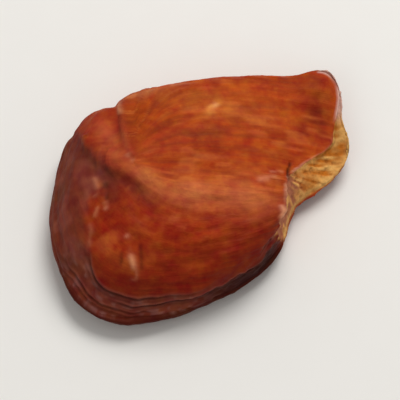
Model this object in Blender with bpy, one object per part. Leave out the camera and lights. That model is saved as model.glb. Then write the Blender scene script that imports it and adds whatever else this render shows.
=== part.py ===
# A bitter almond as it is sold dried: the flat, corky seed of a winged fruit tree, with its wing snapped off.
# It grew as one piece, so it is one closed solid: a domed nut end, a flat facet that the wing grew from,
# a bevelled torn end, and an underside with a low keel between two shallow hollows.
# Frame: +X runs along the fibres towards the torn end, +Z is up, and the seed rests on the plane z = 0.

import bmesh
import bpy
import numpy as np

MM = 0.001

# Driving dimensions, in millimetres
LENGTH = 27.5
WIDTH = 25.1
THICKNESS = 8.0

# The seed's heart, which every section passes through, in the plan that the stations are drawn in
HEART = np.array([0.0, -1.5])

# Stations around the widest contour, counterclockwise in plan, in millimetres.
# Each has x, y, the width of the shoulder above it, its own height, the width of the shoulder below it,
# and how straight the shoulder above is: 1 is a round quarter, 2 is a straight bevel.
STATIONS = (
    (13.5, 6.9, 0.9, 2.3, 0.7, 1.5),
    (13.4, 9.3, 0.5, 2.7, 0.7, 1.3),
    (12.5, 11.1, 0.5, 3.5, 0.8, 1.1),  # upper tip of the tear
    (11.0, 11.3, 0.9, 3.4, 0.9, 1.0),
    (9.4, 10.8, 1.0, 2.8, 1.0, 1.0),
    (6.3, 10.6, 1.1, 2.4, 1.1, 1.0),
    (1.9, 10.2, 1.2, 2.3, 1.2, 1.0),
    (-3.0, 9.2, 1.3, 2.3, 1.3, 1.0),  # straight back edge
    (-5.6, 8.4, 1.3, 2.3, 1.3, 1.0),
    (-7.0, 7.7, 1.3, 2.4, 1.4, 1.0),
    (-7.9, 6.9, 1.5, 2.4, 1.5, 1.0),  # notch between the facet and the small lobe
    (-9.2, 6.7, 1.7, 2.5, 1.6, 1.0),
    (-10.5, 6.1, 2.1, 2.6, 1.8, 1.0),
    (-11.4, 4.9, 2.6, 2.6, 2.0, 1.0),
    (-12.4, 3.4, 2.9, 2.6, 2.2, 1.0),
    (-13.2, -0.6, 3.1, 2.7, 2.3, 1.0),
    (-13.4, -5.0, 3.1, 2.6, 2.3, 1.0),
    (-12.3, -9.1, 3.0, 2.3, 2.2, 1.0),
    (-10.4, -12.1, 2.8, 2.0, 2.0, 1.0),  # rounded nut end
    (-7.5, -13.7, 2.5, 1.8, 1.9, 1.0),
    (-4.2, -13.6, 2.3, 1.6, 1.7, 1.0),
    (-0.2, -12.4, 2.1, 1.5, 1.6, 1.0),
    (3.6, -10.4, 1.9, 1.5, 1.4, 1.0),  # curved belly edge
    (6.5, -7.8, 1.5, 1.6, 1.1, 1.0),
    (8.0, -5.2, 0.5, 1.7, 0.8, 1.2),  # lower corner of the tear
    (8.6, -3.1, 0.7, 1.8, 0.8, 1.3),
    (9.7, -1.3, 1.6, 1.8, 0.7, 1.4),
    (12.2, 0.5, 3.5, 1.9, 0.7, 1.7),
    (13.8, 2.4, 3.8, 2.0, 0.7, 1.7),
    (14.1, 4.6, 2.1, 2.2, 0.7, 1.7),  # torn end, where the lower coat reaches furthest
)

# Sections and rings of the mesh
COLUMNS = 120
RINGS = 36
SHOULDER_FROM = 0.33  # the share of a section, from its top or its bottom, where a shoulder begins

# The upper side, in millimetres: a nut dome, cut by a nearly flat facet
NUT_TOP = (-4.0, -3.5)
NUT_HEIGHT = 8.15
NUT_FALL_LEFT = 0.040
NUT_FALL_RIGHT = 0.006
NUT_FALL_NEAR = 0.050
NUT_FALL_FAR = 0.008
FACET_HEIGHT = 7.85
FACET_AT_Y = -2.8
FACET_SLOPE_X = 0.06
FACET_SLOPE_Y = 0.15
CREST_BLEND = 0.25
TORN_END_TAPER = 0.020
TIP = (12.0, 10.0)
TIP_LIFT = 1.5
TIP_REACH = 2.6
FOLD_X = (-6.7, -7.4)  # the lobe left of this fold lies lower than the facet
LOBE_DROP = 0.5
LOBE_DROP_REACH = 2.5
LOBE_FROM_Y = (0.5, 4.0)

# The underside, in millimetres: a keel that is flattened where the seed lies on it, and a hollow each side
KEEL_Y = -2.6
KEEL_HALF_WIDTH = (5.0, 2.4)  # at the nut end and at the torn end
KEEL_NARROWS = (-6.0, 9.0)  # between these places along X
HOLLOW_DEPTH = 1.0
KEEL_FLAT = 0.12
LIP = (0.55, 0.92)  # the hollows rise into the lip between these shares of the way out
LIP_KEEPS = 0.22
TORN_END_LIFT = 0.011
LIFTS_FROM_X = 3.0

SEED_BROWN = (0.40, 0.085, 0.022, 1.0)


def smooth_step(low, high, value):
    """0 below low, 1 above high, and a smooth ramp between."""
    share = np.clip((value - low) / (high - low), 0.0, 1.0)
    return share * share * (3.0 - 2.0 * share)


def around(share):
    """The stations' values at shares of the way round the contour, by a smooth closed curve through them."""
    stations = np.array(STATIONS)
    count = len(stations)
    fine = np.linspace(0.0, count, 40 * count, endpoint=False)
    before = np.floor(fine).astype(int)
    t = (fine - before)[:, None]
    p0, p1, p2, p3 = (stations[(before + step) % count] for step in (-1, 0, 1, 2))
    curve = 0.5 * (
        2.0 * p1 + (p2 - p0) * t + (2 * p0 - 5 * p1 + 4 * p2 - p3) * t**2 + (3 * p1 - p0 - 3 * p2 + p3) * t**3
    )
    closed = np.vstack([curve, curve[:1]])
    steps = np.linalg.norm(np.diff(closed[:, :2], axis=0), axis=1)
    run = np.concatenate([[0.0], np.cumsum(steps)])
    return np.stack([np.interp(share * run[-1], run, column) for column in closed.T], axis=1)


def upper_side(x, y):
    """Height of the upper side without its shoulders: the lower of the nut's dome and the facet, blended."""
    dx = x - NUT_TOP[0]
    dy = y - NUT_TOP[1]
    nut = (
        NUT_HEIGHT
        - np.where(dx < 0, NUT_FALL_LEFT, NUT_FALL_RIGHT) * dx**2
        - np.where(dy < 0, NUT_FALL_NEAR, NUT_FALL_FAR) * dy**2
    )
    facet = FACET_HEIGHT - FACET_SLOPE_X * x - FACET_SLOPE_Y * (y - FACET_AT_Y)
    gap = np.sqrt((nut - facet) ** 2 + CREST_BLEND**2)
    lower = 0.5 * (nut + facet - gap)
    taper = TORN_END_TAPER * np.clip(x, 0.0, None) ** 2
    from_tip = ((x - TIP[0]) ** 2 + (y - TIP[1]) ** 2) / TIP_REACH**2
    fade = np.exp(-np.clip(FOLD_X[0] - x, 0.0, None) / LOBE_DROP_REACH)
    lobe = smooth_step(*FOLD_X, x) * smooth_step(*LOBE_FROM_Y, y) * fade
    return lower - taper + TIP_LIFT * np.exp(-from_tip) - LOBE_DROP * lobe


def underside(x, y, out):
    """Height of the underside, at a share out of the way from the heart to the contour."""
    along = smooth_step(*KEEL_NARROWS, x)
    half_width = KEEL_HALF_WIDTH[0] + (KEEL_HALF_WIDTH[1] - KEEL_HALF_WIDTH[0]) * along
    hollow = HOLLOW_DEPTH * (1.0 - np.exp(-(((y - KEEL_Y) / half_width) ** 4)))
    hollow = hollow * (1.0 - (1.0 - LIP_KEEPS) * smooth_step(*LIP, out))
    lift = TORN_END_LIFT * np.clip(x - LIFTS_FROM_X, 0.0, None) ** 2
    return np.clip(hollow - KEEL_FLAT, 0.0, None) + lift


def seed_points(longitude, latitude):
    """Points of the seed for shares of the way round it, and down each section from its top to its bottom."""
    station = around(longitude)
    rim = station[:, :2]
    upper_width, mid_height, lower_width, bevel = station[:, 2:].T
    reach = np.linalg.norm(rim - HEART, axis=1)
    above = latitude < 0.5
    width = np.where(above, upper_width, lower_width) / reach
    straightness = np.where(above, bevel, 1.0)
    down = np.where(above, latitude, 1.0 - latitude)
    turn = np.clip((down - SHOULDER_FROM) / (0.5 - SHOULDER_FROM), 0.0, 1.0) * np.pi / 2
    out = (1.0 - width) * np.clip(down / SHOULDER_FROM, 0.0, 1.0) + width * np.sin(turn) ** straightness
    share_high = np.abs(np.cos(turn)) ** straightness
    plan = HEART + (rim - HEART) * out[:, None]
    side = np.where(above, upper_side(*plan.T), underside(*plan.T, out))
    height = mid_height + (side - mid_height) * share_high
    return np.column_stack([plan, height])


def scaled_to_size(points):
    """The points in metres, at the driving dimensions, with the origin under the middle of the box."""
    low, high = points.min(axis=0), points.max(axis=0)
    size = np.array([LENGTH, WIDTH, THICKNESS])
    middle = np.array([*(low + high)[:2] / 2, low[2]])
    return (points - middle) * size / (high - low) * MM


def make_material(name, colour, roughness):
    material = bpy.data.materials.new(name)
    material.use_nodes = True
    shader = material.node_tree.nodes["Principled BSDF"]
    shader.inputs["Base Color"].default_value = colour
    shader.inputs["Roughness"].default_value = roughness
    shader.inputs["Metallic"].default_value = 0.0
    return material


def make_seed(collection):
    """A sphere whose meridians become the seed's sections."""
    sphere = bmesh.new()
    bmesh.ops.create_uvsphere(sphere, u_segments=COLUMNS, v_segments=RINGS, radius=1.0)
    mesh = bpy.data.meshes.new("seed")
    sphere.to_mesh(mesh)
    sphere.free()

    points = np.empty(len(mesh.vertices) * 3)
    mesh.vertices.foreach_get("co", points)
    x, y, z = points.reshape(-1, 3).T
    longitude = np.arctan2(y, x) / (2 * np.pi) % 1.0
    latitude = np.arccos(np.clip(z, -1.0, 1.0)) / np.pi
    moved = scaled_to_size(seed_points(longitude, latitude))
    mesh.vertices.foreach_set("co", moved.ravel())
    mesh.update()
    mesh.shade_smooth()

    seed = bpy.data.objects.new("seed", mesh)
    seed.data.materials.append(make_material("seed coat", SEED_BROWN, 0.5))
    collection.objects.link(seed)
    return seed


def main():
    for old in list(bpy.data.objects):
        bpy.data.objects.remove(old)
    collection = bpy.data.collections.new("bitter almond")
    bpy.context.scene.collection.children.link(collection)
    make_seed(collection)


main()
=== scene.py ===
# A dried bitter almond: the flat corky seed of a winged fruit tree, with its wing snapped off.
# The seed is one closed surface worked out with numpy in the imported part's frame. Its sections run from
# the middle of the upper face over a shoulder to the widest contour, and back under to the middle of the
# underside. Fibres, folds, a layered rim and a tear are then added along the surface's normals.

import math

import bpy
import numpy as np
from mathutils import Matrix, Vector


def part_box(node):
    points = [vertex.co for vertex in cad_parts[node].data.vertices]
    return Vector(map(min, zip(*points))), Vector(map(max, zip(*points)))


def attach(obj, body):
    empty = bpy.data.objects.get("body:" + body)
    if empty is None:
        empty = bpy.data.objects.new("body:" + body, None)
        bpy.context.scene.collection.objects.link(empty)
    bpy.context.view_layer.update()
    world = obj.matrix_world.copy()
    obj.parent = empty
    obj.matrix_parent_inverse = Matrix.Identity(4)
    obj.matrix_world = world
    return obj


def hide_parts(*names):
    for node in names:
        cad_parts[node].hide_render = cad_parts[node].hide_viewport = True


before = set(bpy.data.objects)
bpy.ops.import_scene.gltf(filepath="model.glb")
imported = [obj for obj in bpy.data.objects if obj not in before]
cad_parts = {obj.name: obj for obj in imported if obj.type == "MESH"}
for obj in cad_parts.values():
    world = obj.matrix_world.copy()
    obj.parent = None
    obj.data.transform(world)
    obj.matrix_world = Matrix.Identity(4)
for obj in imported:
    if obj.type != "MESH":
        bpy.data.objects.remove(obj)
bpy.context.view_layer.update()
print("packed part loaded")

mm = 0.001

# Helpers


def smoothStep(low, high, value):
    # 0 below low, 1 above high, and 3s^2 - 2s^3 between them, with s the share of the way
    share = np.clip((value - low) / (high - low), 0, 1)
    return share * share * (3 - 2 * share)


def bell(distance, width):
    # e to the minus (distance / width)^2: 1 at no distance, and about a third at this width
    return np.exp(-((distance / width) ** 2))


def mix(first, second, share):
    # the first value, moved this share of the way to the second
    return first + (second - first) * share


def blend(first, second, share):
    # the same for colours, point by point
    return mix(first, second, share[..., None])


noiseValues = np.random.default_rng(41).uniform(-1, 1, 4096)
cornerKeys = (73856093, 19349663, 83492791)  # primes that scatter neighbouring corners over the values
seedShift = 31.7  # cells between the patterns of one seed number and the next


def latticeNoise(points, spacing, seed):
    # value noise: a random number at each corner of a lattice, blended along each axis by the weight
    # 6s^5 - 15s^4 + 10s^3, with s the share of the way across the cell
    cell = points / np.asarray(spacing, float) + seedShift * seed
    corner = np.floor(cell).astype(np.int64)
    part = cell - corner
    weight = part**3 * (part * (6 * part - 15) + 10)
    total = 0.0
    for step in np.ndindex(2, 2, 2):
        key = (corner + step) * cornerKeys
        value = noiseValues[(key[..., 0] ^ key[..., 1] ^ key[..., 2]) % len(noiseValues)]
        total = total + value * np.where(step, weight, 1 - weight).prod(axis=-1)
    return total


def flowNoise(flow, grain, seed):
    # lattice noise over a pair of maps in mm, along and across a flow, with its grain each way
    along, across = flow
    return latticeNoise(np.stack([along, across, np.zeros_like(along)], axis=-1), (*grain, 1), seed)


def ringNoise(form, across, grain, seed):
    # lattice noise round the contour, read on a circle as long as the contour, so that it joins up
    radius = form["perimeter"] / (2 * np.pi)
    turn = form["girth"] / radius
    circle = np.stack([radius * np.cos(turn), radius * np.sin(turn), across + 0 * turn], axis=-1)
    return latticeNoise(circle, (grain[0], *grain), seed)


def ridges(noise):
    # (1 - |noise|)^3: lines, 1 along the noise's zero crossings, falling to 0 away from them
    return (1 - np.abs(noise)) ** 3


def splinePoints(padded, spots):
    # Catmull-Rom curve at spots counted in knots from the second one. With t the way from knot p1 to p2,
    # it is half of 2 p1 + (p2 - p0) t + (2 p0 - 5 p1 + 4 p2 - p3) t^2 + (3 p1 - p0 - 3 p2 + p3) t^3
    before = np.minimum(spots.astype(int), len(padded) - 4)
    t = (spots - before)[:, None]
    p0, p1, p2, p3 = (padded[before + step] for step in range(4))
    bend = 2 * p0 - 5 * p1 + 4 * p2 - p3
    return 0.5 * (2 * p1 + (p2 - p0) * t + bend * t**2 + (3 * p1 - p0 - 3 * p2 + p3) * t**3)


def atShares(curve, shares):
    # the curve's values at shares of its length in plan, and that length
    run = np.concatenate([[0], np.cumsum(np.linalg.norm(np.diff(curve[:, :2], axis=0), axis=1))])
    return np.stack([np.interp(shares * run[-1], run, column) for column in curve.T], axis=-1), run[-1]


lineSteps = 24  # spline points for each knot of a drawn line
linePoints = 30  # points that it is then measured from


def fromCurve(x, y, knots):
    # distance from a smooth curve, positive on its left side, and the share of its length where it is nearest
    knots = np.array(knots, float)
    padded = np.vstack([2 * knots[0] - knots[1], knots, 2 * knots[-1] - knots[-2]])
    fine = splinePoints(padded, np.linspace(0, len(knots) - 1, lineSteps * len(knots)))
    curve, _ = atShares(fine, np.linspace(0, 1, linePoints))
    nearest = np.full(x.shape, np.inf)
    side, along = np.zeros((2, *x.shape))
    for index, (start, end) in enumerate(zip(curve[:-1], curve[1:])):
        run = end - start
        share = np.clip(((x - start[0]) * run[0] + (y - start[1]) * run[1]) / (run @ run), 0, 1)
        dx = x - start[0] - share * run[0]
        dy = y - start[1] - share * run[1]
        distance = np.hypot(dx, dy)
        closer = distance < nearest
        nearest = np.where(closer, distance, nearest)
        side = np.where(closer, np.where(run[0] * dy > run[1] * dx, distance, -distance), side)
        along = np.where(closer, (index + share) / (len(curve) - 1), along)
    return side, along


def fadeEnds(along, length):
    # 1 along a curve's middle, falling to 0 over this share of it at both ends
    return smoothStep(0, length, along) * (1 - smoothStep(1 - length, 1, along))


def linear(hexColour):
    # sRGB hex to linear RGBA: v / 12.92 up to 0.04045, and ((v + 0.055) / 1.055)^2.4 above
    values = [int(hexColour[i : i + 2], 16) / 255 for i in (1, 3, 5)]
    return [v / 12.92 if v <= 0.04045 else ((v + 0.055) / 1.055) ** 2.4 for v in values] + [1.0]


# The seed. Lengths are in mm, and places are in plan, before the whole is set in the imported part's box.

seedSettings = {
    "columns": 480,  # sections round the seed
    "tornColumns": 1.2,  # extra sections at the tear, as a share of the others
    "rings": (76, 50, 26, 46),  # points on the face, the upper shoulder, the lower shoulder and the underside
    "heart": (0.0, -1.5),  # every section starts and ends here
    # round the widest contour: x, y, width of the shoulder above, height, width of the shoulder below,
    # straightness of the shoulder above, how much of it is torn, and width of the layered rim
    "stations": (
        (13.5, 6.9, 0.9, 2.3, 0.7, 1.5, 1.0, 0.0),
        (13.4, 9.3, 0.5, 2.7, 0.7, 1.3, 1.0, 0.0),
        (12.5, 11.1, 0.5, 3.5, 0.8, 1.1, 0.85, 0.0),  # upper tip of the tear
        (11.0, 11.3, 0.9, 3.4, 0.9, 1.0, 0.0, 0.0),
        (9.4, 10.8, 1.0, 2.8, 1.0, 1.0, 0.0, 0.0),
        (6.3, 10.6, 1.1, 2.4, 1.1, 1.0, 0.0, 0.0),
        (1.9, 10.2, 1.2, 2.3, 1.2, 1.0, 0.0, 0.0),
        (-3.0, 9.2, 1.3, 2.3, 1.3, 1.0, 0.0, 0.0),  # straight back edge
        (-5.6, 8.4, 1.3, 2.3, 1.3, 1.0, 0.0, 0.0),
        (-7.0, 7.7, 1.3, 2.4, 1.4, 1.0, 0.0, 0.0),
        (-7.9, 6.9, 1.5, 2.4, 1.5, 1.0, 0.0, 0.0),  # notch between the facet and the small lobe
        (-9.2, 6.7, 1.7, 2.5, 1.6, 1.0, 0.0, 0.0),
        (-10.5, 6.1, 2.1, 2.6, 1.8, 1.0, 0.0, 0.0),
        (-11.4, 4.9, 2.6, 2.6, 2.0, 1.0, 0.0, 0.2),
        (-12.4, 3.4, 2.9, 2.6, 2.2, 1.0, 0.0, 1.8),
        (-13.2, -0.6, 3.1, 2.7, 2.3, 1.0, 0.0, 3.8),
        (-13.4, -5.0, 3.1, 2.6, 2.3, 1.0, 0.0, 3.8),
        (-12.3, -9.1, 3.0, 2.3, 2.2, 1.0, 0.0, 2.8),
        (-10.4, -12.1, 2.8, 2.0, 2.0, 1.0, 0.0, 1.8),  # rounded nut end
        (-7.5, -13.7, 2.5, 1.8, 1.9, 1.0, 0.0, 1.7),
        (-4.2, -13.6, 2.3, 1.6, 1.7, 1.0, 0.0, 1.3),
        (-0.2, -12.4, 2.1, 1.5, 1.6, 1.0, 0.0, 0.7),
        (3.6, -10.4, 1.9, 1.5, 1.4, 1.0, 0.0, 0.6),  # curved belly edge
        (6.5, -7.8, 1.5, 1.6, 1.1, 1.0, 0.0, 0.5),
        (8.0, -5.2, 0.5, 1.7, 0.8, 1.2, 0.6, 0.2),  # lower corner of the tear
        (8.6, -3.1, 0.7, 1.8, 0.8, 1.3, 1.0, 0.0),
        (9.7, -1.3, 1.6, 1.8, 0.7, 1.4, 1.0, 0.0),
        (12.2, 0.5, 3.5, 1.9, 0.7, 1.7, 1.0, 0.0),
        (13.8, 2.4, 3.8, 2.0, 0.7, 1.7, 1.0, 0.0),
        (14.1, 4.6, 2.1, 2.2, 0.7, 1.7, 1.0, 0.0),  # torn end, where the lower coat reaches furthest
    ),
    # upper face
    "domeTop": (-4.0, -3.5, 8.15),
    "domeFall": (0.040, 0.006, 0.050, 0.008),  # per mm squared towards -x, +x, -y and +y
    "facetHeight": 7.85,
    "facetFromY": -2.8,
    "facetSlope": (0.06, 0.15),  # down per mm of x and of y
    "crestBlend": 0.25,
    "tornTaper": 0.020,
    "tip": (12.0, 10.0),
    "tipReach": 2.6,
    "tipLift": 1.5,
    "lobeFromX": (-6.7, -7.4),
    "lobeFromY": (0.5, 4.0),
    "lobeDrop": 0.5,
    "lobeReach": 2.5,
    # underside
    "keelY": -2.6,
    "keelHalfWidth": (5.0, 2.4),  # at the nut end and at the torn end
    "keelNarrows": (-6.0, 9.0),
    "keelFlat": 0.12,
    "lip": (0.55, 0.92),  # the hollows rise into it between these shares of the way out
    "lipKeeps": 0.22,
    "tornLiftFromX": 3.0,
    "tornLift": 0.011,
    # lines on the coat
    "foldLine": ((-7.1, 7.6), (-7.1, 5.6), (-7.0, 3.9), (-6.6, 1.8), (-5.9, 0.1)),
    "crease": ((-10.9, 5.4), (-10.6, 2.1), (-9.1, -0.2), (-7.1, -1.6), (-5.6, -2.6), (-4.1, -3.5)),
    "crest": ((-6.7, 0.2), (-4.9, -1.3), (-3.0, -2.7), (-0.4, -3.7), (3.3, -3.9), (6.1, -3.4), (8.0, -2.7)),
    "wedgeEdge": ((-5.5, 0.3), (-3.8, 1.9), (-1.6, 2.9), (1.5, 3.2), (4.2, 3.0), (8.5, 3.2)),
    # height or depth, width, and the share of the line that it fades over at each end
    "foldRidge": (0.12, 0.35, 0.08),
    "crestRidge": (0.18, 1.0, 0.2),
    "wedgeGroove": (0.09, 0.25, 0.25),
    "creaseGroove": (0.10, 0.55, 0.3),
    "creaseDrop": (0.28, 2.2, 0.25),
    "creaseGrooveOff": 0.25,  # how far to the right of the crease its groove runs
    # fibres, which fan out over the facet from the hilum
    "hilum": (-5.9, -0.3),
    "fanRun": 2.0,  # over which they spread
    "fanCore": 0.33,  # how wide the fan still is at the hilum, as a share of its full width
    "flowWidth": 9.0,  # across the flow between the crest and the contour
    "crestGirth": (36.5, 34.0),  # the crest starts this far round the contour, and spans this much of it
    "wander": ((0.16, (5.0, 2.2)), (0.06, (1.4, 0.9))),  # sideways, and its grain along and across
    "folds": (0.13, (9.0, 1.5)),  # height, and grain along and across
    "wrinkles": (0.12, (3.6, 0.75)),
    "fibres": (0.06, (3.2, 0.34)),
    "swells": ((0.16, 6.5, 1), (0.05, 2.6, 2), (0.045, 0.8, 60)),  # height, grain and seed number
    # short marks: knots, half width, height, and how pale (or dark, below 0). The pale ones are painted
    # pale partly as highlights on chips, scuffs and edges, and the dark ones dark as shade in splits and
    # grooves
    "marks": (
        # the chip is painted pale partly as its glint
        (((1.0, 5.7), (1.5, 6.2), (2.0, 6.7)), 0.26, 0.10, 0.8),  # chip in the coat
        # these two: pale streaks on the crest, painted highlights
        (((5.2, -1.9), (6.6, -1.4), (7.8, -1.3)), 0.34, 0.07, 0.42),
        (((6.4, -0.8), (7.4, -0.5), (8.0, -0.5)), 0.18, 0.05, 0.35),
        # the split is painted dark, as shade
        (((8.6, 1.0), (8.3, -0.4), (8.4, -1.8)), 0.14, -0.22, -1.0),  # split beside the tear
        # the bared edge is painted pale partly as its highlight
        (((7.5, -3.8), (7.8, -4.7), (7.6, -5.6)), 0.26, 0.08, 0.9),  # the coat's bared edge
        # the scuffed wrinkle is painted pale partly as a glint, with painted shade in the grooves beside it
        (((-6.5, -7.2), (-6.2, -8.3), (-6.1, -9.1)), 0.24, 0.12, 0.55),  # scuffed wrinkle
        (((-6.2, -8.7), (-5.8, -9.9), (-5.8, -11.3)), 0.30, 0.14, 0.7),
        (((-6.8, -7.8), (-6.9, -10.2)), 0.20, -0.10, -0.45),
        (((-5.2, -8.0), (-5.0, -10.6)), 0.20, -0.10, -0.45),
        (((-9.5, -1.2), (-9.2, -2.6), (-9.4, -3.8)), 0.26, 0.10, 0.24),
        (((-9.0, -4.4), (-9.4, -5.6)), 0.22, 0.07, 0.24),
        (((-9.9, -5.8), (-9.6, -7.0), (-9.8, -8.2)), 0.24, 0.08, 0.2),
        (((-8.5, -4.0), (-8.3, -4.6), (-8.4, -5.1)), 0.22, 0.08, 0.45),
        (((-8.5, -1.9), (-8.35, -4.2)), 0.28, -0.12, -0.6),
        (((-6.5, 0.8), (-6.2, 0.2), (-5.6, -0.1)), 0.32, 0.05, 0.3),  # where the fibres meet
        # the cut edge is painted pale as the highlight along it
        (((-7.1, 7.1), (-7.15, 6.1), (-7.1, 4.9)), 0.20, 0.08, 0.7),  # cut edge of the facet
    ),
    # the back edge, and the flank below it
    "flankFromY": (4.5, 6.5),
    "washesEndY": (4.0, 6.0),
    "streaksFromY": (5.0, 6.5),
    "backEdgeY": (6.5, 8.0),
    "backEdgeX": (9.5, 7.5),
    # the layered rim: where each layer ends as a share of the rim from the contour up, and how deep it steps
    "layers": ((1.0, 0.22), (0.84, 0.05), (0.66, 0.12), (0.52, 0.05), (0.38, 0.09), (0.2, 0.05)),
    "layerPatch": (7.0, 0.3),  # layers come and go over this much of the contour and of the rim's share
    "layerGroove": 0.04,
    "rimWander": ((0.12, 4.5, 9), (0.07, 1.3, 20)),  # of the layers' edges: share, grain and seed number
    "softWander": (0.16, (0.7, 1.6, 0.7), 18),  # added where the rim is soft
    "crinkle": (0.03, 0.05),  # height where the rim is soft, and what is added where it is crisp
    "crinkleGrain": (0.5, 0.45),
    "crispBelowY": (-6.5, -10.5),
    "crispTilt": 0.6,  # towards +x the crisp layers reach this much further up per mm
    "crispTiltX": (-9.0, -6.0),
    # the nearly black is painted shadow under the belly's edge
    "bellyFromX": (-3.0, 4.0),  # the rim turns nearly black over this stretch
    "bellyBelowY": (0.0, -4.0),
    # the tear
    "coatThickness": 0.22,
    "coatCutAt": 0.25,  # down from where the shoulder begins
    "lowerCoatAt": 0.35,  # down from the contour
    "ragged": ((0.22, 1.7, 11), (0.14, 0.5, 12)),  # of those two edges: width, grain and seed number
    "frayed": ((0.30, (2.0, 2.0, 1.0), 15), (0.12, 0.5, 16)),  # of the tear's two ends, as a share of it
    "cutEdge": (0.07, 0.17, 0.12),  # height, width, and how far up from the cut its middle lies
    "cutEdgeGrain": 1.4,
    "pore": (0.10, 0.45),  # depth and grain
    "strand": (0.06, (1.6, 0.4)),  # height, and grain down and along the tear
    "hiddenEdgeY": (0.3, 1.3, 5.0, 6.5),  # the cut edge fades out over the first two, and in over the others
    "skinFromX": (11.2, 8.8),
    "tipSkinFromY": (6.0, 8.2),
    "colours": {
        "facet": "#ae3f0b",
        "facetStreak": "#8e2d08",
        "dome": "#992d08",
        "domeStreak": "#752309",
        "wornAndLit": "#cc642a",
        "belly": "#3a1009",
        "rim": "#732d1c",
        "rimPale": "#93493a",
        "rimLow": "#702c1b",
        "rimRed": "#8a3722",
        "rimOlive": "#63301a",
        "groove": "#3a0f06",
        "creaseShade": "#4c1a12",
        "deepRed": "#7a1f0b",
        "lavender": "#93645c",
        "pale": "#d88c66",
        "fleck": "#d06a32",
        "cutEdge": "#c98a6a",
        "ochre": "#b8671c",
        "cream": "#e3ad62",
        "pit": "#8a4a18",
        "skin": "#ab644b",
        "tipSkin": "#d2a69a",
        "underside": "#93380f",
    },
    # washes of colour over the coat: colour, then middle, half lengths, turn in degrees and strength of each
    "washes": (
        ("#ab3c1c", ((-2.6, 1.9, 3.4, 1.2, 25, 0.6),)),
        ("#b64f2b", ((-8.4, 3.0, 1.0, 2.6, 30, 0.9), (-7.6, 0.9, 1.6, 0.9, -40, 0.8))),
        (
            "#9c3807",
            ((1.5, 0.8, 6.0, 1.8, 0, 0.65), (7.5, 3.0, 2.5, 1.5, 0, 0.5), (-4.8, 0.4, 1.6, 1.0, 0, 0.5)),
        ),
        ("#933205", ((-0.3, -0.2, 2.2, 0.9, 0, 0.5), (8.0, 1.3, 1.8, 1.0, 0, 0.45))),
        ("#ab5014", ((-0.6, 6.9, 3.8, 0.8, 4, 0.65), (4.5, 8.0, 3.0, 0.7, 0, 0.3))),
        ("#bd5719", ((1.8, 5.9, 3.6, 1.4, 0, 0.6), (6.0, 5.4, 3.2, 1.5, 0, 0.6))),
        # tan at the notch: partly the edge's own tan, partly a painted highlight
        ("#c8764a", ((-5.4, 7.4, 2.0, 0.6, 18, 0.6),)),
        # these two: the crest's pale peach band, a painted highlight along it
        ("#bf6236", ((-0.3, -3.4, 2.8, 1.5, -8, 1.0), (4.0, -3.7, 3.4, 1.7, 4, 0.9))),
        ("#cc6c38", ((-4.4, -2.0, 2.3, 0.9, -40, 1.0),)),
        ("#983709", ((-2.7, -0.9, 1.5, 0.7, -30, 0.6),)),
        # a painted glint on the chip in the coat
        ("#ef9a45", ((1.5, 6.2, 0.75, 0.38, 45, 1.0),)),
        # deep red at the torn end: the coat's own darker tone, with painted shade inside the raised tip
        (
            "#7f260c",
            ((11.2, 7.4, 1.1, 3.0, 5, 0.8), (9.6, 4.4, 1.0, 1.4, -30, 0.45), (9.5, 8.9, 1.6, 1.0, 0, 0.5)),
        ),
        ("#7a230d", ((-6.3, 3.6, 0.7, 2.6, 12, 0.5), (-10.4, 2.0, 0.6, 1.9, 15, 0.6))),
        # dark maroon: painted shade under the crease and along the nut end's lower edge
        (
            "#5c190a",
            (
                (-5.1, -3.2, 2.0, 0.9, -30, 0.75),
                (-7.8, -3.4, 1.0, 1.9, 8, 0.6),
                (-4.8, -12.2, 3.5, 0.9, -8, 0.4),
            ),
        ),
        # dark mauve: painted shade in the valley under the lobe, and a darker patch on the left flank
        ("#5a2a25", ((-9.6, -0.8, 2.6, 1.4, -40, 0.8), (-12.4, -1.0, 0.8, 2.2, 5, 0.5))),
        # pale mauve: a painted highlight at the top of the left flank, and a patch lower on it
        ("#8d5a52", ((-10.6, -0.4, 1.3, 0.5, -40, 0.5), (-11.9, -5.4, 0.7, 1.4, 5, 0.4))),
    ),
}

contourSteps = 40  # spline points for each station
contourSamples = np.linspace(0, 1, 2001)


def contourAt(share, stations):
    # closed Catmull-Rom curve through the stations, read at shares of its length in plan
    count = len(stations)
    padded = np.vstack([stations[-1:], stations, stations[:2]])
    curve = splinePoints(padded, np.linspace(0, count, contourSteps * count, endpoint=False))
    return atShares(np.vstack([curve, curve[:1]]), share)


def upperFace(x, y, look):
    # the lower of two heights a and b, blended as half of a + b - sqrt((a - b)^2 + blend^2): the dome falls
    # off with the square of the distance from its top, and the facet slopes away. The torn end tapers with
    # x^2, its tip rises in a bell, and the lobe beyond the fold lies lower.
    topX, topY, topHeight = look["domeTop"]
    left, right, near, far = look["domeFall"]
    dx = x - topX
    dy = y - topY
    dome = topHeight - np.where(dx < 0, left, right) * dx**2 - np.where(dy < 0, near, far) * dy**2
    slopeX, slopeY = look["facetSlope"]
    facet = look["facetHeight"] - slopeX * x - slopeY * (y - look["facetFromY"])
    lower = 0.5 * (dome + facet - np.hypot(dome - facet, look["crestBlend"]))
    taper = look["tornTaper"] * np.clip(x, 0, None) ** 2
    fromTip = np.hypot(x - look["tip"][0], y - look["tip"][1])
    fade = np.exp(-np.clip(look["lobeFromX"][0] - x, 0, None) / look["lobeReach"])
    lobe = smoothStep(*look["lobeFromX"], x) * smoothStep(*look["lobeFromY"], y) * fade
    return lower - taper + look["tipLift"] * bell(fromTip, look["tipReach"]) - look["lobeDrop"] * lobe


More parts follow.
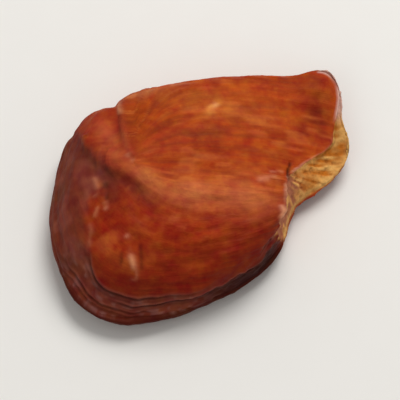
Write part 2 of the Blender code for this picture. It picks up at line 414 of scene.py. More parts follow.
def underFace(x, y, out, look):
    # a hollow each side of a keel, 1 - e^-((y - keel) / half width)^4, which rises into the lip. It is
    # lowered by keelFlat and kept above 0, so the keel is flat, and the torn end lifts with the distance^2.
    halfWidth = mix(*look["keelHalfWidth"], smoothStep(*look["keelNarrows"], x))
    hollow = 1 - np.exp(-(((y - look["keelY"]) / halfWidth) ** 4))
    hollow = hollow * (1 - (1 - look["lipKeeps"]) * smoothStep(*look["lip"], out))
    lift = look["tornLift"] * np.clip(x - look["tornLiftFromX"], 0, None) ** 2
    return np.clip(hollow - look["keelFlat"], 0, None) + lift


def smoothSeed(look):
    # each section goes out along the face, down a quarter-superellipse shoulder, in under it and back to the
    # heart: plan = heart + (contour - heart) * ((1 - w) u + w sin(a)^b), z = edge + (face - edge) cos(a)^b,
    # with u from 0 to 1 along the face, a from 0 to 90 degrees down the shoulder, w the shoulder's share of
    # the section and b its straightness
    stations = np.array(look["stations"])
    even, _ = contourAt(contourSamples, stations)
    density = 1 + look["tornColumns"] * np.clip(even[:, 6], 0, 1)
    run = np.concatenate([[0], np.cumsum(0.5 * (density[1:] + density[:-1]))])
    count = look["columns"]
    columnShare = np.interp(np.arange(count) / count * run[-1], run, contourSamples)
    station, perimeter = contourAt(columnShare, stations)
    upperWidth, edgeHeight, lowerWidth, bevel, torn, rimWidth = station[:, 2:].T

    face, shoulder, lowerShoulder, under = look["rings"]
    contourRow = face + shoulder
    straight = [np.arange(face) / face, np.ones(shoulder + lowerShoulder + 1), np.arange(under)[::-1] / under]
    outward = np.arange(shoulder) / shoulder
    inward = 1 - np.arange(lowerShoulder + 1) / lowerShoulder
    straightOut = np.concatenate(straight)[:, None]
    angle = np.concatenate([np.zeros(face), outward, inward, np.zeros(under)])[:, None] * np.pi / 2
    upper = (np.arange(len(angle)) < contourRow)[:, None]
    heart = np.array(look["heart"])
    reach = np.linalg.norm(station[:, :2] - heart, axis=1)
    width = np.where(upper, upperWidth, lowerWidth) / reach
    straightness = np.where(upper, bevel, 1.0)
    out = (1 - width) * straightOut + width * np.sin(angle) ** straightness
    plan = heart + (station[:, :2] - heart) * out[..., None]
    x, y = plan[..., 0], plan[..., 1]
    side = np.where(upper, upperFace(x, y, look), underFace(x, y, out, look))
    z = edgeHeight + (side - edgeHeight) * np.cos(angle) ** straightness
    points = np.stack([x, y, z], axis=-1)

    # run of the surface down each section, and where the layered rim begins on it
    run = np.vstack([np.zeros(count), np.cumsum(np.linalg.norm(np.diff(points, axis=0), axis=-1), axis=0)])
    fromContour = run[contourRow] - run
    inset = (1 - out) * reach
    column = np.arange(count)
    row = np.argmax(inset[: contourRow + 1] <= np.clip(rimWidth, 0, None), axis=0)
    before, after = inset[row - 1, column], inset[row, column]
    part = (before - rimWidth) / np.maximum(before - after, 1e-6)
    rimRun = mix(fromContour[row - 1, column], fromContour[row, column], part)
    return {
        "points": points,
        "x": x,
        "y": y,
        "z": z,
        "out": out,  # share of the way from the heart to the contour
        "perimeter": perimeter,
        "girth": np.broadcast_to(columnShare * perimeter, out.shape),  # mm round the contour
        "fromContour": fromContour,  # mm up the section from the contour, negative below it
        "fromShoulder": run - run[face],  # mm down it from where the shoulder begins
        "rimRun": np.broadcast_to(rimRun, out.shape),  # mm up it from the contour to the rim's first layer
        "rimWidth": np.broadcast_to(rimWidth, out.shape),
        "upper": np.broadcast_to(upper, out.shape).astype(float),
        "torn": np.broadcast_to(np.clip(torn, 0, 1), out.shape),
    }


# What the coat and the tear add to the smooth shape


def fibreFlow(form, lines, look):
    # maps in mm along and across the fibres. Facet: a fan from the hilum, with across = offset divided by
    # 1 - e^(-run / fanRun), which is kept above fanCore, and carried on down the back edge by the run of the
    # surface. Elsewhere: across = flowWidth * run / (run + distance from the crest), run being that from
    # the contour.
    x, y = form["x"], form["y"]
    hilumX, hilumY = look["hilum"]
    spread = np.hypot(look["fanCore"], 1 - np.exp(-np.clip(x - hilumX, 0, None) / look["fanRun"]))
    downFlank = np.clip(form["fromShoulder"], 0, None) * smoothStep(0, 6, y)
    fan = (np.hypot(x - hilumX, 0.6 * (y - hilumY)), (y - hilumY) / spread + downFlank)
    crestSide, crestAlong = lines["crest"]
    run = np.abs(form["fromContour"])
    share = run / (run + np.abs(crestSide) + 0.01)
    crestStart, crestSpan = look["crestGirth"]
    across = look["flowWidth"] * np.where(form["upper"] > 0, share, -share)
    dome = (mix(form["girth"], crestStart + crestSpan * crestAlong, share), across)
    return {"fan": fan, "dome": dome, "under": (x, y)}


def fibreRelief(flow, look, seed):
    # soft folds and wrinkles, and ridged fibres, along a flow that wanders a little: their summed height, and
    # how high each place stands, about 0.5 and more where all three stand high. The tint paints the high
    # places paler, as wear and as highlight, and the low ones darker, as painted shade.
    along, across = flow
    for index, (sideways, grain) in enumerate(look["wander"]):
        across = across + sideways * flowNoise((along, flow[1]), grain, seed + index)
    foldHeight, foldGrain = look["folds"]
    wrinkleHeight, wrinkleGrain = look["wrinkles"]
    fibreHeight, fibreGrain = look["fibres"]
    folds = flowNoise((along, across), foldGrain, seed + 2)
    wrinkles = smoothStep(-0.7, 0.7, flowNoise((along, across), wrinkleGrain, seed + 3))
    fibres = ridges(flowNoise((along, across), fibreGrain, seed + 4))
    height = foldHeight * folds + wrinkleHeight * wrinkles + fibreHeight * fibres
    wornAndLit = 0.5 + 0.3 * folds + 0.35 * (wrinkles - 0.5) + 0.35 * (fibres - 0.35)
    return np.array([height, wornAndLit])


def coatRegions(form, lines, look):
    # which part of the coat each point lies on, as shares from 0 to 1, smooth steps over the lines between
    foldSide, creaseSide, crestSide = (lines[name][0] for name in ("foldLine", "crease", "crest"))
    below = (1 - form["upper"]) * smoothStep(0.97, 0.80, form["out"])
    onFacet = smoothStep(-0.5, 0.4, crestSide) * smoothStep(-0.2, 0.25, foldSide) * (1 - below)
    # the fan's fibres turn along the back edge on the flank below it
    turned = smoothStep(0.4, 1.8, form["fromShoulder"]) * smoothStep(*look["flankFromY"], form["y"])
    # fibres crowd together on the lobe, at the fold and round the hilum
    onLobe = smoothStep(0.6, -0.4, foldSide) * smoothStep(-0.4, 0.4, creaseSide)
    onLobe = onLobe * smoothStep(-0.4, 0.4, crestSide)
    fromHilum = np.hypot(form["x"] - look["hilum"][0], form["y"] - look["hilum"][1])
    crowded = np.maximum(onLobe, np.maximum(bell(foldSide, 1.1) * onFacet, bell(fromHilum, 1.6)))
    return {
        "below": below,
        "onFacet": onFacet,
        "fanShare": onFacet * (1 - turned),
        "crowded": crowded * form["upper"],
    }


def coatFibres(flow, regions, look):
    # each region's fibres along its own flow, mixed by the regions' shares, and smoother where they crowd
    seeds = {"fan": 30, "dome": 40, "under": 50}
    fan, dome, under = (fibreRelief(flow[name], look, seed) for name, seed in seeds.items())
    height, wornAndLit = mix(mix(dome, under, regions["below"]), fan, regions["fanShare"])
    smoother = 0.8 * regions["crowded"]
    return height * (1 - smoother), {"wornAndLit": mix(wornAndLit, 0.5, smoother)}


def foldedLines(form, lines, look):
    # bells of the distance from each line, faded at its ends: a ridge along the fold line and the crest, a
    # groove along the wedge's edge, and a groove and a step down along the crease
    upper = form["upper"]
    foldSide, foldAlong = lines["foldLine"]
    creaseSide, creaseAlong = lines["crease"]
    crestSide, crestAlong = lines["crest"]
    wedgeSide, wedgeAlong = lines["wedgeEdge"]
    foldHeight, foldWidth, foldFade = look["foldRidge"]
    crestHeight, crestWidth, crestFade = look["crestRidge"]
    wedgeDepth, wedgeWidth, wedgeFade = look["wedgeGroove"]
    grooveDepth, grooveWidth, grooveFade = look["creaseGroove"]
    dropDepth, dropReach, dropFade = look["creaseDrop"]
    foldRidge = bell(foldSide, foldWidth) * fadeEnds(foldAlong, foldFade) * upper
    crestRidge = bell(crestSide, crestWidth) * fadeEnds(crestAlong, crestFade) * upper
    wedgeGroove = bell(wedgeSide, wedgeWidth) * fadeEnds(wedgeAlong, wedgeFade) * upper
    creaseGroove = bell(creaseSide + look["creaseGrooveOff"], grooveWidth) * upper
    creaseGroove = creaseGroove * fadeEnds(creaseAlong, grooveFade)
    creaseDrop = smoothStep(0.5, -0.4, creaseSide) * np.exp(-np.abs(creaseSide) / dropReach)
    creaseDrop = creaseDrop * fadeEnds(creaseAlong, dropFade) * upper
    relief = foldHeight * foldRidge + crestHeight * crestRidge - wedgeDepth * wedgeGroove
    relief = relief - grooveDepth * creaseGroove - dropDepth * creaseDrop
    return relief, {"foldRidge": foldRidge, "crease": creaseGroove, "wedge": wedgeGroove}


def shortMarks(form, look):
    # a bell of the distance from each mark's line, faded at its ends and broken up by noise
    relief, pale, dark = np.zeros((3, *form["x"].shape))
    broken = smoothStep(-0.8, 0.1, latticeNoise(form["points"], 0.7, 19))
    broken = broken * smoothStep(0, 0.6, form["fromContour"])
    for knots, halfWidth, height, paleness in look["marks"]:
        side, along = fromCurve(form["x"], form["y"], knots)
        mark = bell(side, halfWidth) * fadeEnds(along, 0.2) * broken
        relief = relief + height * mark
        pale = np.maximum(pale, paleness * mark)
        dark = np.maximum(dark, -paleness * mark)
    return relief, {"pale": pale, "dark": dark}


def rimLayers(form, look):
    # thin terraces that step down outwards: outside its edge each one lowers the coat by its depth, with a
    # groove just outside the edge, which the tint paints dark as shade, and a lip just inside, which it
    # paints pale as highlight. Crisp round the nut end, and soft beside it.
    hasRim = smoothStep(0.1, 0.5, form["rimWidth"]) * form["upper"]
    rimShare = form["fromContour"] / np.maximum(form["rimRun"], 0.3)
    tiltFrom, tiltFull = look["crispTiltX"]
    tilt = look["crispTilt"] * (form["x"] - tiltFrom) * smoothStep(tiltFrom, tiltFull, form["x"])
    crisp = smoothStep(*look["crispBelowY"], form["y"] - tilt)
    softHeight, softGrain, softSeed = look["softWander"]
    wander = softHeight * (1 - crisp) * latticeNoise(form["points"], softGrain, softSeed)
    for share, grain, seed in look["rimWander"]:
        wander = wander + share * ringNoise(form, 0, (grain, 1), seed)
    halfStep = 0.5 - 0.4 * crisp
    terraces, grooves, lips = np.zeros((3, *crisp.shape))
    for place, depth in look["layers"]:
        present = smoothStep(-0.5, 0.3, ringNoise(form, place, look["layerPatch"], 10))
        edge = (rimShare - place - wander * (2 - place)) * form["rimRun"]
        terraces = terraces - depth * (0.4 + 0.6 * crisp) * smoothStep(halfStep, -halfStep, edge) * present
        sharp = present * (0.15 + 0.85 * crisp)
        grooves = grooves + min(depth / 0.12, 1) * bell(edge + 0.16, 0.14 + 0.3 * depth) * sharp
        lips = lips + min(depth / 0.10, 1) * bell(edge - 0.12, 0.12 + 0.2 * depth) * sharp
    crinkles = ringNoise(form, form["fromContour"], look["crinkleGrain"], 61) * smoothStep(1.3, 0.9, rimShare)
    soft, added = look["crinkle"]
    relief = hasRim * (terraces - look["layerGroove"] * grooves + (soft + added * crisp) * crinkles)
    border = 1.2 - 1.1 * crisp
    return relief, {
        "inRim": hasRim * smoothStep(border, -border, (rimShare - 1 - wander) * form["rimRun"]),
        "rimShare": rimShare,
        "grooves": np.clip(hasRim * grooves, 0, 1),
        "layerLips": np.clip(hasRim * lips, 0, 1),
        "crinkles": crinkles,
        "crisp": crisp,
    }


def tornEnd(form, look):
    # down the section from where the shoulder begins: the coat's raised cut edge, a step as deep as the coat
    # is thick, and corky tissue full of pores, out to the lower coat; both edges are ragged
    points, y = form["points"], form["y"]
    ragged = sum(width * ringNoise(form, 0, (grain, 1), seed) for width, grain, seed in look["ragged"])
    frayed = sum(share * latticeNoise(points, grain, seed) for share, grain, seed in look["frayed"])
    tornHere = smoothStep(0.42, 0.58, form["torn"] + frayed)
    shoulderRun = form["fromShoulder"] + form["fromContour"]
    fromCoat = form["fromShoulder"] - look["coatCutAt"] - ragged * smoothStep(0.3, 1.5, shoulderRun)
    lowerEdge = form["fromContour"] + look["lowerCoatAt"] + 0.8 * ragged
    cork = tornHere * smoothStep(-0.05, 0.05, fromCoat) * smoothStep(-0.08, 0.08, lowerEdge)
    cutHeight, cutWidth, cutOff = look["cutEdge"]
    cutEdge = tornHere * bell(fromCoat + cutOff, cutWidth)
    cutEdge = cutEdge * smoothStep(-0.9, 0.5, ringNoise(form, 0, (look["cutEdgeGrain"], 1), 62))
    fadeFrom, hiddenFrom, hiddenTo, fadeTo = look["hiddenEdgeY"]
    cutEdge = cutEdge * (1 - 0.65 * smoothStep(fadeFrom, hiddenFrom, y) * smoothStep(fadeTo, hiddenTo, y))
    poreDepth, poreGrain = look["pore"]
    strandHeight, strandGrain = look["strand"]
    pores = latticeNoise(points, poreGrain, 13)
    strands = flowNoise((form["fromShoulder"], form["girth"]), strandGrain, 14)
    sag = smoothStep(0, 0.6, fromCoat) * smoothStep(-0.1, 1.4, lowerEdge)
    tissue = strandHeight * strands - look["coatThickness"] * sag - poreDepth * smoothStep(0.2, 0.75, pores)
    return tissue, cutHeight * cutEdge, {
        "cork": cork,
        "pits": cork * smoothStep(0.25, 0.75, pores),
        "strands": strands,
        "cutEdge": cutEdge,
        "lowerEdge": lowerEdge,
    }


def coatRelief(form, lines, flow, look):
    # height to add along the surface's normal: the sum of swells, fibres, lines, marks and rim layers, which
    # gives way to the torn tissue where the coat is gone; and the shares that the colours follow
    shares = coatRegions(form, lines, look)
    relief = sum(height * latticeNoise(form["points"], grain, seed) for height, grain, seed in look["swells"])
    fibres = coatFibres(flow, shares, look)
    folded = foldedLines(form, lines, look)
    for height, more in (fibres, folded, shortMarks(form, look), rimLayers(form, look)):
        relief = relief + height
        shares.update(more)
    tissue, raisedEdge, more = tornEnd(form, look)
    shares.update(more)
    return mix(relief, tissue, shares["cork"]) + raisedEdge, shares


# Colours. Each function takes the colour so far and returns it with its own laid over.


def washShare(x, y, spots):
    # the strongest of some turned ellipses: strength * e^-(u^2 + v^2), with u and v the way along and across
    share = np.zeros_like(x)
    for middleX, middleY, halfLength, halfWidth, turn, strength in spots:
        cosine, sine = math.cos(math.radians(turn)), math.sin(math.radians(turn))
        u = ((x - middleX) * cosine + (y - middleY) * sine) / halfLength
        v = ((y - middleY) * cosine - (x - middleX) * sine) / halfWidth
        share = np.maximum(share, strength * np.exp(-(u**2 + v**2)))
    return share


def coatTint(form, flow, shares, look, palette):
    # facet, dome and underside, each streaked along its fibres, under washes with frayed outlines
    x, y, z = form["x"], form["y"], form["z"]
    below, fanShare, wornAndLit = shares["below"], shares["fanShare"], shares["wornAndLit"]
    patches = mix(flowNoise(flow["dome"], (9.0, 1.6), 23), flowNoise(flow["under"], (7.0, 1.4), 24), below)
    patches = smoothStep(-0.8, 0.9, mix(patches, flowNoise(flow["fan"], (9.0, 1.3), 21), fanShare))
    facet = blend(palette["facet"], palette["facetStreak"], 0.5 * patches)
    dome = blend(palette["dome"], palette["domeStreak"], 0.45 * patches)
    stains = smoothStep(-0.5, 0.7, latticeNoise(form["points"], 2.2, 25))
    under = blend(palette["underside"], palette["domeStreak"], 0.6 * stains)
    # the underside's hollows are painted deeper red, as shade, and its resting keel paler, as wear
    hollow = smoothStep(0.25, 0.9, z) * smoothStep(0.97, 0.75, form["out"])
    under = blend(under, palette["deepRed"], 0.6 * hollow)
    under = blend(under, palette["wornAndLit"], 0.3 * smoothStep(0.22, 0.0, z) * smoothStep(0.2, 0.8, wornAndLit))
    tint = blend(blend(dome, under, below), facet, shares["onFacet"])

    fray = 0.35 * flowNoise(flow["fan"], (3.0, 0.6), 27)
    downFlank = smoothStep(0.2, 1.8, form["fromShoulder"] + fray) * smoothStep(*look["washesEndY"], y)
    washed = (1 - below) * (1 - 0.9 * downFlank)
    for hexColour, spots in look["washes"]:
        tint = blend(tint, np.array(linear(hexColour)[:3]), washShare(x, y + fray, spots) * washed)

    # ridges are painted paler, partly as wear and partly as highlight,
    # and the furrows between them darker, as painted shade
    tint = blend(tint, palette["wornAndLit"], 0.14 * smoothStep(0.55, 1.0, wornAndLit))
    tint = blend(tint, 0.80 * tint, smoothStep(0.45, 0.05, wornAndLit))
    # mottling, a little over half a millimetre across
    tint = tint * (1 + 0.14 * latticeNoise(form["points"], (0.9, 0.55, 0.6), 43))[..., None]
    # short pale flecks on the fibres' crests: painted glints, and scuffs
    fanFlecks = flowNoise(flow["fan"], (1.7, 0.42), 33) + 0.5 * flowNoise(flow["fan"], (6.0, 2.5), 34)
    domeFlecks = flowNoise(flow["dome"], (2.0, 0.7), 35) + 0.5 * flowNoise(flow["dome"], (6.0, 2.5), 36)
    domeFlecks = mix(domeFlecks, 1.3 * flowNoise(flow["under"], (2.6, 0.45), 26), below)
    flecks = smoothStep(0.35, 1.0, mix(domeFlecks, fanFlecks, fanShare))
    return blend(tint, palette["fleck"], (0.28 + 0.02 * shares["onFacet"]) * flecks)


def rimTint(tint, form, shares, look, palette):
    # the dome deepens to dark red towards its rim, which is mauve-brown at the nut end, and deep red then
    # nearly black under the belly's edge, a painted shadow
    points, upper, crisp = form["points"], form["upper"], shares["crisp"]
    onDome = (form["fromContour"] - form["rimRun"]) * upper + 9 * (1 - upper)
    tint = blend(tint, palette["deepRed"], 0.75 * smoothStep(3.2, 0.2, onDome) * crisp)
    # where the rim is painted nearly black, as the shadow under the belly's edge
    belly = smoothStep(*look["bellyFromX"], form["x"] + 1.5 * latticeNoise(points, 2.0, 38))
    belly = belly * smoothStep(*look["bellyBelowY"], form["y"])
    mottle = smoothStep(-0.3, 0.6, latticeNoise(points, 1.1, 28))
    rim = blend(palette["rim"], palette["rimPale"], 0.5 * mottle)
    rim = blend(rim, palette["rimOlive"], 0.6 * smoothStep(0.0, 0.7, latticeNoise(points, 2.3, 31)))
    rim = blend(rim, palette["rimRed"], 0.7 * smoothStep(3.5, 1.8, form["z"]) * crisp)
    # darker towards the contour at the nut end: partly the rim's own dark, partly painted shade
    rim = blend(rim, palette["groove"], 0.4 * smoothStep(0.7, 0.0, form["fromContour"]) * crisp)
    topLayer = smoothStep(0.55, 0.75, shares["rimShare"])
    rim = blend(rim, blend(palette["belly"], palette["deepRed"], topLayer), belly)
    tint = blend(tint, rim, shares["inRim"])
    # under the rim: dark brown, partly as painted shade
    underRim = (1 - shares["below"]) * (1 - upper) * smoothStep(0.1, 0.4, form["rimWidth"])
    lowEdge = blend(palette["rimLow"], palette["groove"], 0.8 * crisp)
    tint = blend(tint, blend(lowEdge, palette["belly"], belly), 0.9 * underRim)
    # lavender ticks on the crinkles: painted highlights
    ticks = shares["inRim"] * crisp * smoothStep(0.0, 0.8, shares["crinkles"]) * (1 - belly)
    tint = blend(tint, palette["lavender"], 0.50 * ticks)
    # the layers' lips are painted pale, as their highlight
    return blend(tint, palette["rimPale"], 0.65 * shares["layerLips"] * (1 - 0.4 * belly))


def lineTint(tint, form, shares, look, palette):
    # grooves are painted dark, as shade; scuffed ridges and cut edges pale, partly as highlight; the back
    # edge has a pale line, partly painted highlight and partly wear; and long fibres streak its flank
    tint = blend(tint, palette["groove"], np.clip(0.85 * shares["grooves"] + shares["dark"], 0, 1))
    tint = blend(tint, palette["creaseShade"], 0.4 * shares["crease"])
    tint = blend(tint, palette["groove"], 0.32 * shares["wedge"])
    tint = blend(tint, palette["pale"], np.clip(0.08 * shares["foldRidge"] + shares["pale"], 0, 1))
    backEdge = smoothStep(*look["backEdgeY"], form["y"]) * smoothStep(*look["backEdgeX"], form["x"])
    backEdge = backEdge * bell(form["fromShoulder"] - 0.45, 0.3) * form["upper"]
    patchy = smoothStep(-0.5, 0.7, latticeNoise(form["points"], (2.0, 0.5, 0.5), 37))
    tint = blend(tint, palette["pale"], 0.35 * backEdge * patchy)
    onFlank = smoothStep(0.4, 1.6, form["fromShoulder"]) * smoothStep(*look["streaksFromY"], form["y"])
    edgeFlow = (form["girth"], form["fromContour"])
    strips = ridges(flowNoise(edgeFlow, (4.5, 0.42), 44))
    strips = strips * smoothStep(-0.6, 0.5, flowNoise(edgeFlow, (3.0, 1.2), 45))
    return blend(tint, palette["domeStreak"], 0.55 * onFlank * (1 - shares["below"]) * strips)


def tearTint(tint, form, shares, look, palette):
    # the coat's cut edge, pale partly as a painted highlight, then ochre tissue with darker pits, cream at
    # its outer lip and pale skin at its tip, partly a painted highlight
    points, y, strands = form["points"], form["y"], shares["strands"]
    cutColour = blend(palette["cutEdge"], palette["tipSkin"], smoothStep(6.0, 7.5, y))
    tint = blend(tint, cutColour, np.clip(shares["cutEdge"], 0, 1))
    creamy = smoothStep(-0.7, 0.9, strands + 0.4 * latticeNoise(points, 0.6, 29))
    tissue = blend(palette["ochre"], palette["cream"], 0.8 * creamy)
    tissue = blend(tissue, palette["pit"], 0.45 * shares["pits"])
    tissue = tissue * (0.77 + 0.48 * smoothStep(5.0, -0.5, y))[..., None]
    skin = smoothStep(*look["skinFromX"], form["x"] + 0.9 * latticeNoise(points, 1.2, 39))
    skin = skin * smoothStep(1, -1, y) * smoothStep(0.9, 0.0, strands)
    tissue = blend(tissue, palette["skin"], 0.9 * skin)
    tissue = blend(tissue, palette["cream"], 0.8 * bell(shares["lowerEdge"] - 0.3, 0.4))
    tissue = blend(tissue, palette["tipSkin"], 0.9 * smoothStep(*look["tipSkinFromY"], y))
    return blend(tint, tissue, shares["cork"])


def seedTint(form, flow, shares, look):
    # the colour of every point: the coat's, then the rim, the lines and the tear over it
    palette = {name: np.array(linear(hexColour)[:3]) for name, hexColour in look["colours"].items()}
    tint = coatTint(form, flow, shares, look, palette)
    for layer in (rimTint, lineTint, tearTint):
        tint = layer(tint, form, shares, look, palette)
    return tint


# The seed's mesh


def surfaceNormals(points):
    # cross product of the differences round and down the grid, and at each pole the mean of the next ring
    around = np.roll(points, -1, axis=1) - np.roll(points, 1, axis=1)
    down = np.gradient(points, axis=0)
    normals = np.cross(down, around)
    normals = normals / np.maximum(np.linalg.norm(normals, axis=-1, keepdims=True), 1e-12)
    normals[0] = normals[1].mean(axis=0)
    normals[-1] = normals[-2].mean(axis=0)
    return normals


def onVertices(values):
    # one value for each pole, and the grid's values between
    between = values[1:-1].reshape(-1, *values.shape[2:])
    return np.concatenate([values[0, :1], between, values[-1, :1]]).astype(np.float32)


def gridFaces(rows, columns):
    # quads between the rings, and a fan of triangles round each pole
    ring = np.arange(columns)
    following = (ring + 1) % columns
    start = 1 + np.arange(rows - 3)[:, None] * columns
    quads = [start + ring, start + columns + ring, start + columns + following, start + following]
    last = 1 + (rows - 2) * columns
    lastRing = last - columns
    topCap = [np.zeros_like(ring), 1 + ring, 1 + following]
    bottomCap = [lastRing + following, lastRing + ring, np.full_like(ring, last)]
    return [np.stack(corners, axis=-1).reshape(-1, len(corners)) for corners in (topCap, quads, bottomCap)]


def seedMesh(name, look, box):
    # a grid of points with a pole at each end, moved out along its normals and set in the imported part's box
    form = smoothSeed(look)
    lineNames = ("foldLine", "crease", "crest", "wedgeEdge")
    lines = {lineName: fromCurve(form["x"], form["y"], look[lineName]) for lineName in lineNames}
    flow = fibreFlow(form, lines, look)
    relief, shares = coatRelief(form, lines, flow, look)
    relief[0] = relief[0].mean()
    relief[-1] = relief[-1].mean()
    grid = form["points"] + surfaceNormals(form["points"]) * relief[..., None]
    low, high = grid.min(axis=(0, 1)), grid.max(axis=(0, 1))
    print("raw size in mm:", (high - low).round(2))
    boxLow, boxHigh = np.array(box[0]), np.array(box[1])
    grid = boxLow + (grid - low) / (high - low) * (boxHigh - boxLow)
    faces = gridFaces(*grid.shape[:2])
    mesh = bpy.data.meshes.new(name)
    mesh.from_pydata(onVertices(grid).tolist(), [], [corners for part in faces for corners in part.tolist()])

    # colour and fibre maps for the materials
    tint = np.concatenate([seedTint(form, flow, shares, look), np.ones_like(relief)[..., None]], axis=-1)
    fanFlow, domeFlow = (np.stack([*flow[name], np.zeros_like(relief)], axis=-1) for name in ("fan", "dome"))
    for mapName, kind, field, values in (
        ("tint", "FLOAT_COLOR", "color", tint),
        ("fanShare", "FLOAT", "value", shares["fanShare"]),
        ("fanFlow", "FLOAT_VECTOR", "vector", fanFlow),
        ("domeFlow", "FLOAT_VECTOR", "vector", domeFlow),
    ):
        mesh.attributes.new(mapName, kind, "POINT").data.foreach_set(field, onVertices(values).ravel())
    # a face takes the cork where its second corner is more than half cork
    secondCorner = np.concatenate([part[:, 1] for part in faces])
    isCork = onVertices(shares["cork"])[secondCorner] > 0.5
    mesh.polygons.foreach_set("material_index", isCork.astype(np.int32))
    mesh.shade_smooth()
    piece = bpy.data.objects.new(name, mesh)
    bpy.context.scene.collection.objects.link(piece)
    return piece


# Materials


def addNode(tree, kind, links=None, **settings):
    # one node, with its settings, and the number, colour or link of each socket
    node = tree.nodes.new("ShaderNode" + kind)
    for name, value in settings.items():
        setattr(node, name, value)
    for socket, value in (links or {}).items():
        if isinstance(value, bpy.types.NodeSocket):
            tree.links.new(value, node.inputs[socket])
        else:
            node.inputs[socket].default_value = value
    return node


def newMaterial(name):
    material = bpy.data.materials.new(name)
    material.use_nodes = True
    material.node_tree.nodes.clear()
    return material, material.node_tree


noiseSpan = {"From Min": 0.3, "From Max": 0.7}  # where most of a noise texture's values lie

coatLook = {
    "streakGrain": (5.0, 0.5, 0.6),  # mm along the fibres, and across them on the facet and on the dome
    "streakValue": (0.91, 1.09),
    "mottleGrain": 1.3,  # mm
    "mottleValue": (0.86, 1.14),
    "mottleHue": (0.492, 0.508),
    "fibreBump": 0.06,  # mm
    "roughness": (0.5, 0.72),
    "specular": 0.08,
}


def coatMaterial(look):
    # dried fibrous seed coat: papery red-brown fibres in layers, satin where they lie flat
    material, tree = newMaterial("driedSeedCoat")
    tint = addNode(tree, "Attribute", attribute_name="tint").outputs["Color"]
    fanShare = addNode(tree, "Attribute", attribute_name="fanShare").outputs["Fac"]
    fan = addNode(tree, "Attribute", attribute_name="fanFlow").outputs["Vector"]
    dome = addNode(tree, "Attribute", attribute_name="domeFlow").outputs["Vector"]
    spot = addNode(tree, "TexCoord").outputs["Object"]

    # streaks of fibre, half a millimetre wide on the facet, a little more on the dome, and 5 mm long
    along, *across = look["streakGrain"]
    fanScale, domeScale = ((1 / along, 1 / width, 1) for width in across)
    fanStretch = addNode(tree, "Mapping", {"Vector": fan, "Scale": fanScale}).outputs[0]
    domeStretch = addNode(tree, "Mapping", {"Vector": dome, "Scale": domeScale}).outputs[0]
    flow = addNode(tree, "Mix", {0: fanShare, 4: domeStretch, 5: fanStretch}, data_type="VECTOR").outputs[1]
    streakNoise = {"Vector": flow, "Scale": 1.0, "Detail": 4.0, "Roughness": 0.6}
    streak = addNode(tree, "TexNoise", streakNoise).outputs["Fac"]
    # mottling of the dried coat
    mottleNoise = {"Vector": spot, "Scale": 1 / (look["mottleGrain"] * mm), "Detail": 3.0, "Roughness": 0.6}
    mottle = addNode(tree, "TexNoise", mottleNoise).outputs["Fac"]

    ranges = {}
    sources = {"streakValue": streak, "roughness": streak, "mottleValue": mottle, "mottleHue": mottle}
    for name, noise in sources.items():
        low, high = look[name]
        settings = {**noiseSpan, "Value": noise, "To Min": low, "To Max": high}
        ranges[name] = addNode(tree, "MapRange", settings).outputs[0]
    values = {0: ranges["streakValue"], 1: ranges["mottleValue"]}
    value = addNode(tree, "Math", values, operation="MULTIPLY").outputs[0]
    settings = {"Color": tint, "Value": value, "Hue": ranges["mottleHue"]}
    colour = addNode(tree, "HueSaturation", settings).outputs[0]

    # single fibres, about 0.12 mm apart
    fineNoise = {"Vector": flow, "Scale": 4.2, "Detail": 3.0, "Roughness": 0.6}
    fine = addNode(tree, "TexNoise", fineNoise).outputs["Fac"]
    relief = {"Height": fine, "Strength": 0.8, "Distance": look["fibreBump"] * mm}
    settings = {
        "Base Color": colour,
        "Roughness": ranges["roughness"],
        "Specular IOR Level": look["specular"],
        "Normal": addNode(tree, "Bump", relief).outputs[0],
    }
    shader = addNode(tree, "BsdfPrincipled", settings)
    addNode(tree, "OutputMaterial", {"Surface": shader.outputs[0]})
    return material


corkLook = {
    "grain": 0.35,  # mm
    "grainValue": (0.82, 1.15),
    "cell": 0.15,  # mm across an open cell
    "cellBump": 0.08,  # mm
    "roughness": 0.85,
    "specular": 0.1,
}


def corkMaterial(look):
    # torn corky tissue under the coat: dry, porous and dull
    material, tree = newMaterial("tornCorkTissue")
    tint = addNode(tree, "Attribute", attribute_name="tint").outputs["Color"]
    spot = addNode(tree, "TexCoord").outputs["Object"]
    grainNoise = {"Vector": spot, "Scale": 1 / (look["grain"] * mm), "Detail": 4.0}
    grain = addNode(tree, "TexNoise", grainNoise).outputs["Fac"]
    low, high = look["grainValue"]
    settings = {**noiseSpan, "Value": grain, "To Min": low, "To Max": high}
    value = addNode(tree, "MapRange", settings).outputs[0]
    colour = addNode(tree, "HueSaturation", {"Color": tint, "Value": value}).outputs[0]
    cellNoise = {"Vector": spot, "Scale": 1 / (look["cell"] * mm), "Detail": 3.0}
    cells = addNode(tree, "TexNoise", cellNoise).outputs["Fac"]
    relief = {"Height": cells, "Strength": 0.8, "Distance": look["cellBump"] * mm}
    settings = {
        "Base Color": colour,
        "Roughness": look["roughness"],
        "Specular IOR Level": look["specular"],
        "Normal": addNode(tree, "Bump", relief).outputs[0],
    }
    shader = addNode(tree, "BsdfPrincipled", settings)
    addNode(tree, "OutputMaterial", {"Surface": shader.outputs[0]})
    return material


seed = seedMesh("bitterAlmond", seedSettings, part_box("seed"))
seed.data.materials.append(coatMaterial(coatLook))
seed.data.materials.append(corkMaterial(corkLook))
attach(seed, "root")
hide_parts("seed")
print("seed made:", len(seed.data.vertices), "points")

# Floor, lights and camera

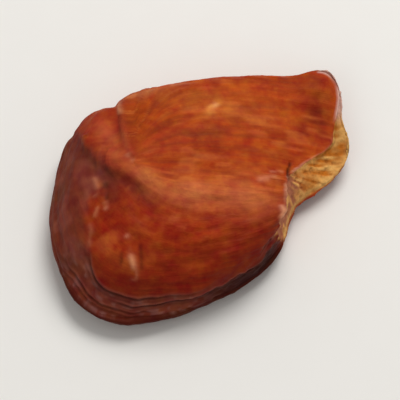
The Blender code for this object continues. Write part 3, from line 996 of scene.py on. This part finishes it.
studio = {
    "floorColour": "#efece6",
    "floorSize": 2.0,  # m
    "floorGrain": 2.5,  # mm
    "floorRoughness": (0.75, 0.9),
    "azimuth": 0,
    "elevation": 64,
    "aim": (0.0, -0.64, 3.0),  # mm
    "lens": 350,
    "frameWidth": 36.5,  # mm across the picture at the seed
    "worldStrength": 0.37,
    # name, direction from the seed, distance and size in m, watts
    "lights": (
        ("key", (0.25, 0.60, 1.0), 0.45, 0.28, 1.4),
        ("fill", (-0.6, -0.7, 0.9), 0.50, 0.40, 0.2),
    ),
}


def makeFloor(look):
    # matte pale card: its fine tooth keeps it even and dull, with no highlight
    bpy.ops.mesh.primitive_plane_add(size=look["floorSize"], location=(0, 0, 0))
    floor = bpy.context.object
    floor.name = "floor"
    material, tree = newMaterial("matteCard")
    spot = addNode(tree, "TexCoord").outputs["Object"]
    grainNoise = {"Vector": spot, "Scale": 1 / (look["floorGrain"] * mm), "Detail": 2.0}
    grain = addNode(tree, "TexNoise", grainNoise).outputs["Fac"]
    low, high = look["floorRoughness"]
    settings = {**noiseSpan, "Value": grain, "To Min": low, "To Max": high}
    roughness = addNode(tree, "MapRange", settings).outputs[0]
    settings = {"Base Color": linear(look["floorColour"]), "Roughness": roughness}
    shader = addNode(tree, "BsdfPrincipled", settings)
    addNode(tree, "OutputMaterial", {"Surface": shader.outputs[0]})
    floor.data.materials.append(material)


def makeLights(look):
    # round area lights that face the seed, and an even pale room
    for name, direction, distance, size, power in look["lights"]:
        data = bpy.data.lights.new(name, "AREA")
        data.shape = "DISK"
        data.size = size
        data.energy = power
        lamp = bpy.data.objects.new(name, data)
        toward = Vector(direction).normalized()
        lamp.location = toward * distance
        lamp.rotation_euler = toward.to_track_quat("Z", "Y").to_euler()
        bpy.context.scene.collection.objects.link(lamp)
    world = bpy.data.worlds.new("paleRoom")
    world.use_nodes = True
    background = world.node_tree.nodes["Background"]
    background.inputs["Color"].default_value = (1, 1, 1, 1)
    background.inputs["Strength"].default_value = look["worldStrength"]
    bpy.context.scene.world = world


def makeCamera(look):
    # the camera stands back along its azimuth and elevation, far enough for the frame's width
    data = bpy.data.cameras.new("camera")
    data.lens = look["lens"]
    data.sensor_width = 36
    data.clip_start = 0.01
    data.clip_end = 20
    camera = bpy.data.objects.new("camera", data)
    azimuth, elevation = math.radians(look["azimuth"]), math.radians(look["elevation"])
    level = math.cos(elevation)
    back = Vector((math.sin(azimuth) * level, -math.cos(azimuth) * level, math.sin(elevation)))
    distance = look["frameWidth"] * mm * look["lens"] / data.sensor_width
    camera.location = Vector(look["aim"]) * mm + back * distance
    camera.rotation_euler = back.to_track_quat("Z", "Y").to_euler()
    bpy.context.scene.collection.objects.link(camera)
    bpy.context.scene.camera = camera


makeFloor(studio)
makeLights(studio)
makeCamera(studio)
bpy.context.scene.view_settings.view_transform = "Standard"
print("studio made")
